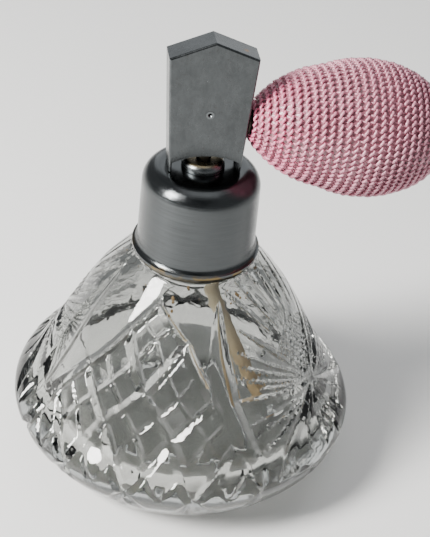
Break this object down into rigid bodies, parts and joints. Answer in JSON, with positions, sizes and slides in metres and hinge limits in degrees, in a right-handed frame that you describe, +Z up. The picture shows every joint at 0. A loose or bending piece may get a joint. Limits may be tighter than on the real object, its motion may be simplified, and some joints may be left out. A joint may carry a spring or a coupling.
{
  "type": "perfume bottle",
  "caption": "Conical cut glass perfume bottle with a chromed screw collar, a swivelling spray head and a squeeze bulb in a knitted cover.",
  "frame": {"origin": "centre of the bottle's resting face", "axes": "+Z up along the bottle's axis, the jet faces -Y, the bulb points to +X"},
  "size_m": [0.1169, 0.1004, 0.1326],
  "materials": {
    "cut_glass": "polished",
    "chrome": "polished, lightly worn",
    "brass": "aged",
    "rubber": "matt",
    "knit": "shiny knit",
    "plaster": "rough",
    "tube": "aged",
    "steel": "bright",
    "cork_rubber": "matt"
  },
  "bodies": {
    "bottle": {"glass_bottle": "cut_glass", "neck_cement": "plaster", "neck_ferrule": "brass"},
    "washer": {"neck_washer": "cork_rubber"},
    "bush": {"stem_bush": "chrome", "seal_plate": "brass", "bush_nut": "brass"},
    "collar": {"screw_collar": "chrome"},
    "head": {"stem_tube": "brass", "stem_clip": "steel", "head_shell": "chrome", "spray_block": "brass", "jet_nozzle": "brass", "bulb_nipple": "brass", "tube_socket": "brass", "dip_tube": "tube", "rubber_bulb": "rubber", "knit_cover": "knit", "neck_binding": "brass", "valve_body": "brass"},
    "bulb_top": {"rubber_wall_top": "rubber", "knit_wall_top": "knit"},
    "bulb_bottom": {"rubber_wall_bottom": "rubber", "knit_wall_bottom": "knit"},
    "ball": {"valve_ball": "steel"}
  },
  "joints": [
    {"name": "lift_off", "type": "slide", "parent": "bottle", "child": "washer", "axis": [0, 0, 1], "range_m": [0, 0.09]},
    {"name": "unscrew_rise", "type": "slide", "parent": "washer", "child": "bush", "axis": [0, 0, 1], "range_m": [0, 0.004]},
    {"name": "collar_turn", "type": "hinge", "parent": "bush", "child": "collar", "pos_m": [0, 0, 0.0945], "axis": [0, 0, 1], "range_deg": [0, 540]},
    {"name": "head_swivel", "type": "hinge", "parent": "bush", "child": "head", "pos_m": [0, 0, 0.0945], "axis": [0, 0, 1], "continuous": true},
    {"name": "bulb_squeeze", "type": "slide", "parent": "head", "child": "bulb_top", "axis": [-0.0558, 0, -0.9984], "range_m": [0, 0.009], "stiffness_N_per_m": 400},
    {"name": "bulb_squeeze_under", "type": "slide", "parent": "head", "child": "bulb_bottom", "axis": [0.0558, 0, 0.9984], "range_m": [0, 0.009], "stiffness_N_per_m": 400},
    {"name": "valve_ball_lift", "type": "slide", "parent": "head", "child": "ball", "axis": [-0.9984, 0, 0.0558], "range_m": [0, 0.001]}
  ],
  "couplings": [
    {"joint": "unscrew_rise", "follows": "collar_turn", "m_per_rad": 0.00039789},
    {"joint": "bulb_squeeze_under", "follows": "bulb_squeeze", "ratio": 1}
  ]
}
